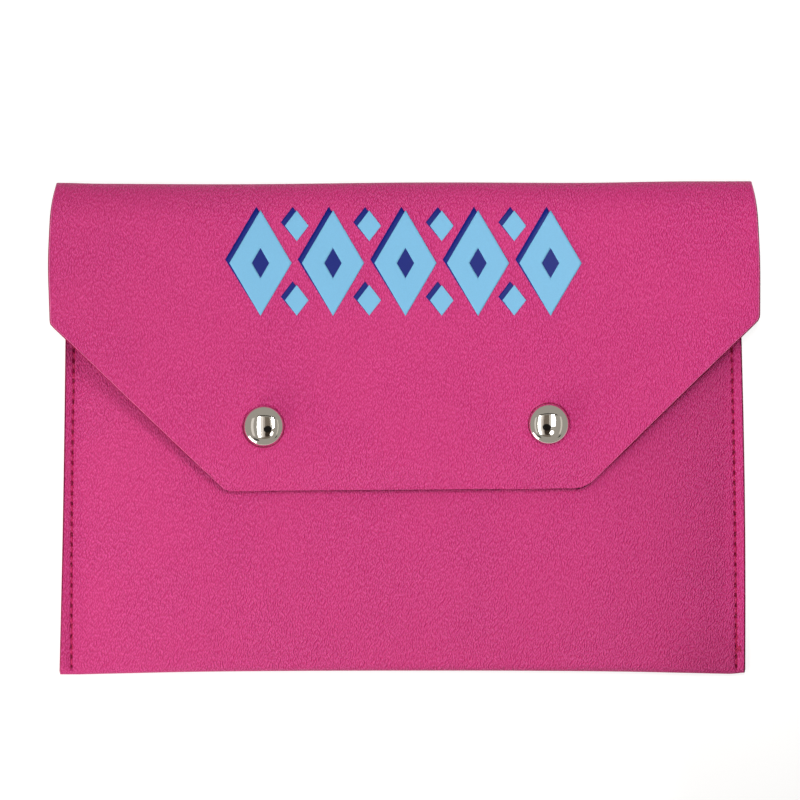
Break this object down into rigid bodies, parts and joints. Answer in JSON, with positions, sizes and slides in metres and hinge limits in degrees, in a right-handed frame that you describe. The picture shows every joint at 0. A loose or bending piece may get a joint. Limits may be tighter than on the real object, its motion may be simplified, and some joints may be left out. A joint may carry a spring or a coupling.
{
  "type": "envelope card pouch",
  "caption": "Envelope pouch of coated leathercloth with sewn sides, a rounded top fold, a tapered flap and dome snap fasteners, for game cards.",
  "frame": {"origin": "middle of the face the pouch rests on, under the middle of its outline", "axes": "+X to the right along the folds, +Y towards the top fold, +Z out of the front"},
  "size_m": [0.2224, 0.1534, 0.0176],
  "materials": {
    "sheet": "hot pink polyurethane coat on a knit backing, fine pebble grain, satin",
    "thread": "crimson bonded polyester sewing thread",
    "nickel": "polished nickel plate on pressed brass",
    "spring": "drawn spring wire",
    "film_dark": "dark blue heat transfer film, smooth",
    "film_light": "light blue heat transfer film, smooth"
  },
  "bodies": {
    "pouch": {"back_panel": "sheet", "front_panel": "sheet", "bottom_fold": "sheet", "left_needle_thread": "thread", "left_bobbin_thread": "thread", "right_needle_thread": "thread", "right_bobbin_thread": "thread", "left_stud": "nickel", "left_post": "nickel", "right_stud": "nickel", "right_post": "nickel"},
    "flap_crease": {"flap_crease": "sheet"},
    "flap": {"flap": "sheet", "ornament_shade": "film_dark", "ornament_face": "film_light", "left_cap_shell": "nickel", "left_cap_rivet": "nickel", "left_socket": "nickel", "left_ring_spring": "spring", "right_cap_shell": "nickel", "right_cap_rivet": "nickel", "right_socket": "nickel", "right_ring_spring": "spring"}
  },
  "joints": [
    {"name": "crease_fold", "type": "hinge", "parent": "pouch", "child": "flap_crease", "pos_m": [0, 0.07465, 0.00205], "axis": [-1, 0, 0], "range_deg": [0, 90]},
    {"name": "flap_fold", "type": "hinge", "parent": "flap_crease", "child": "flap", "pos_m": [0, 0.07465, 0.01195], "axis": [-1, 0, 0], "range_deg": [0, 90]}
  ],
  "couplings": [
    {"joint": "crease_fold", "follows": "flap_fold", "ratio": 1}
  ]
}
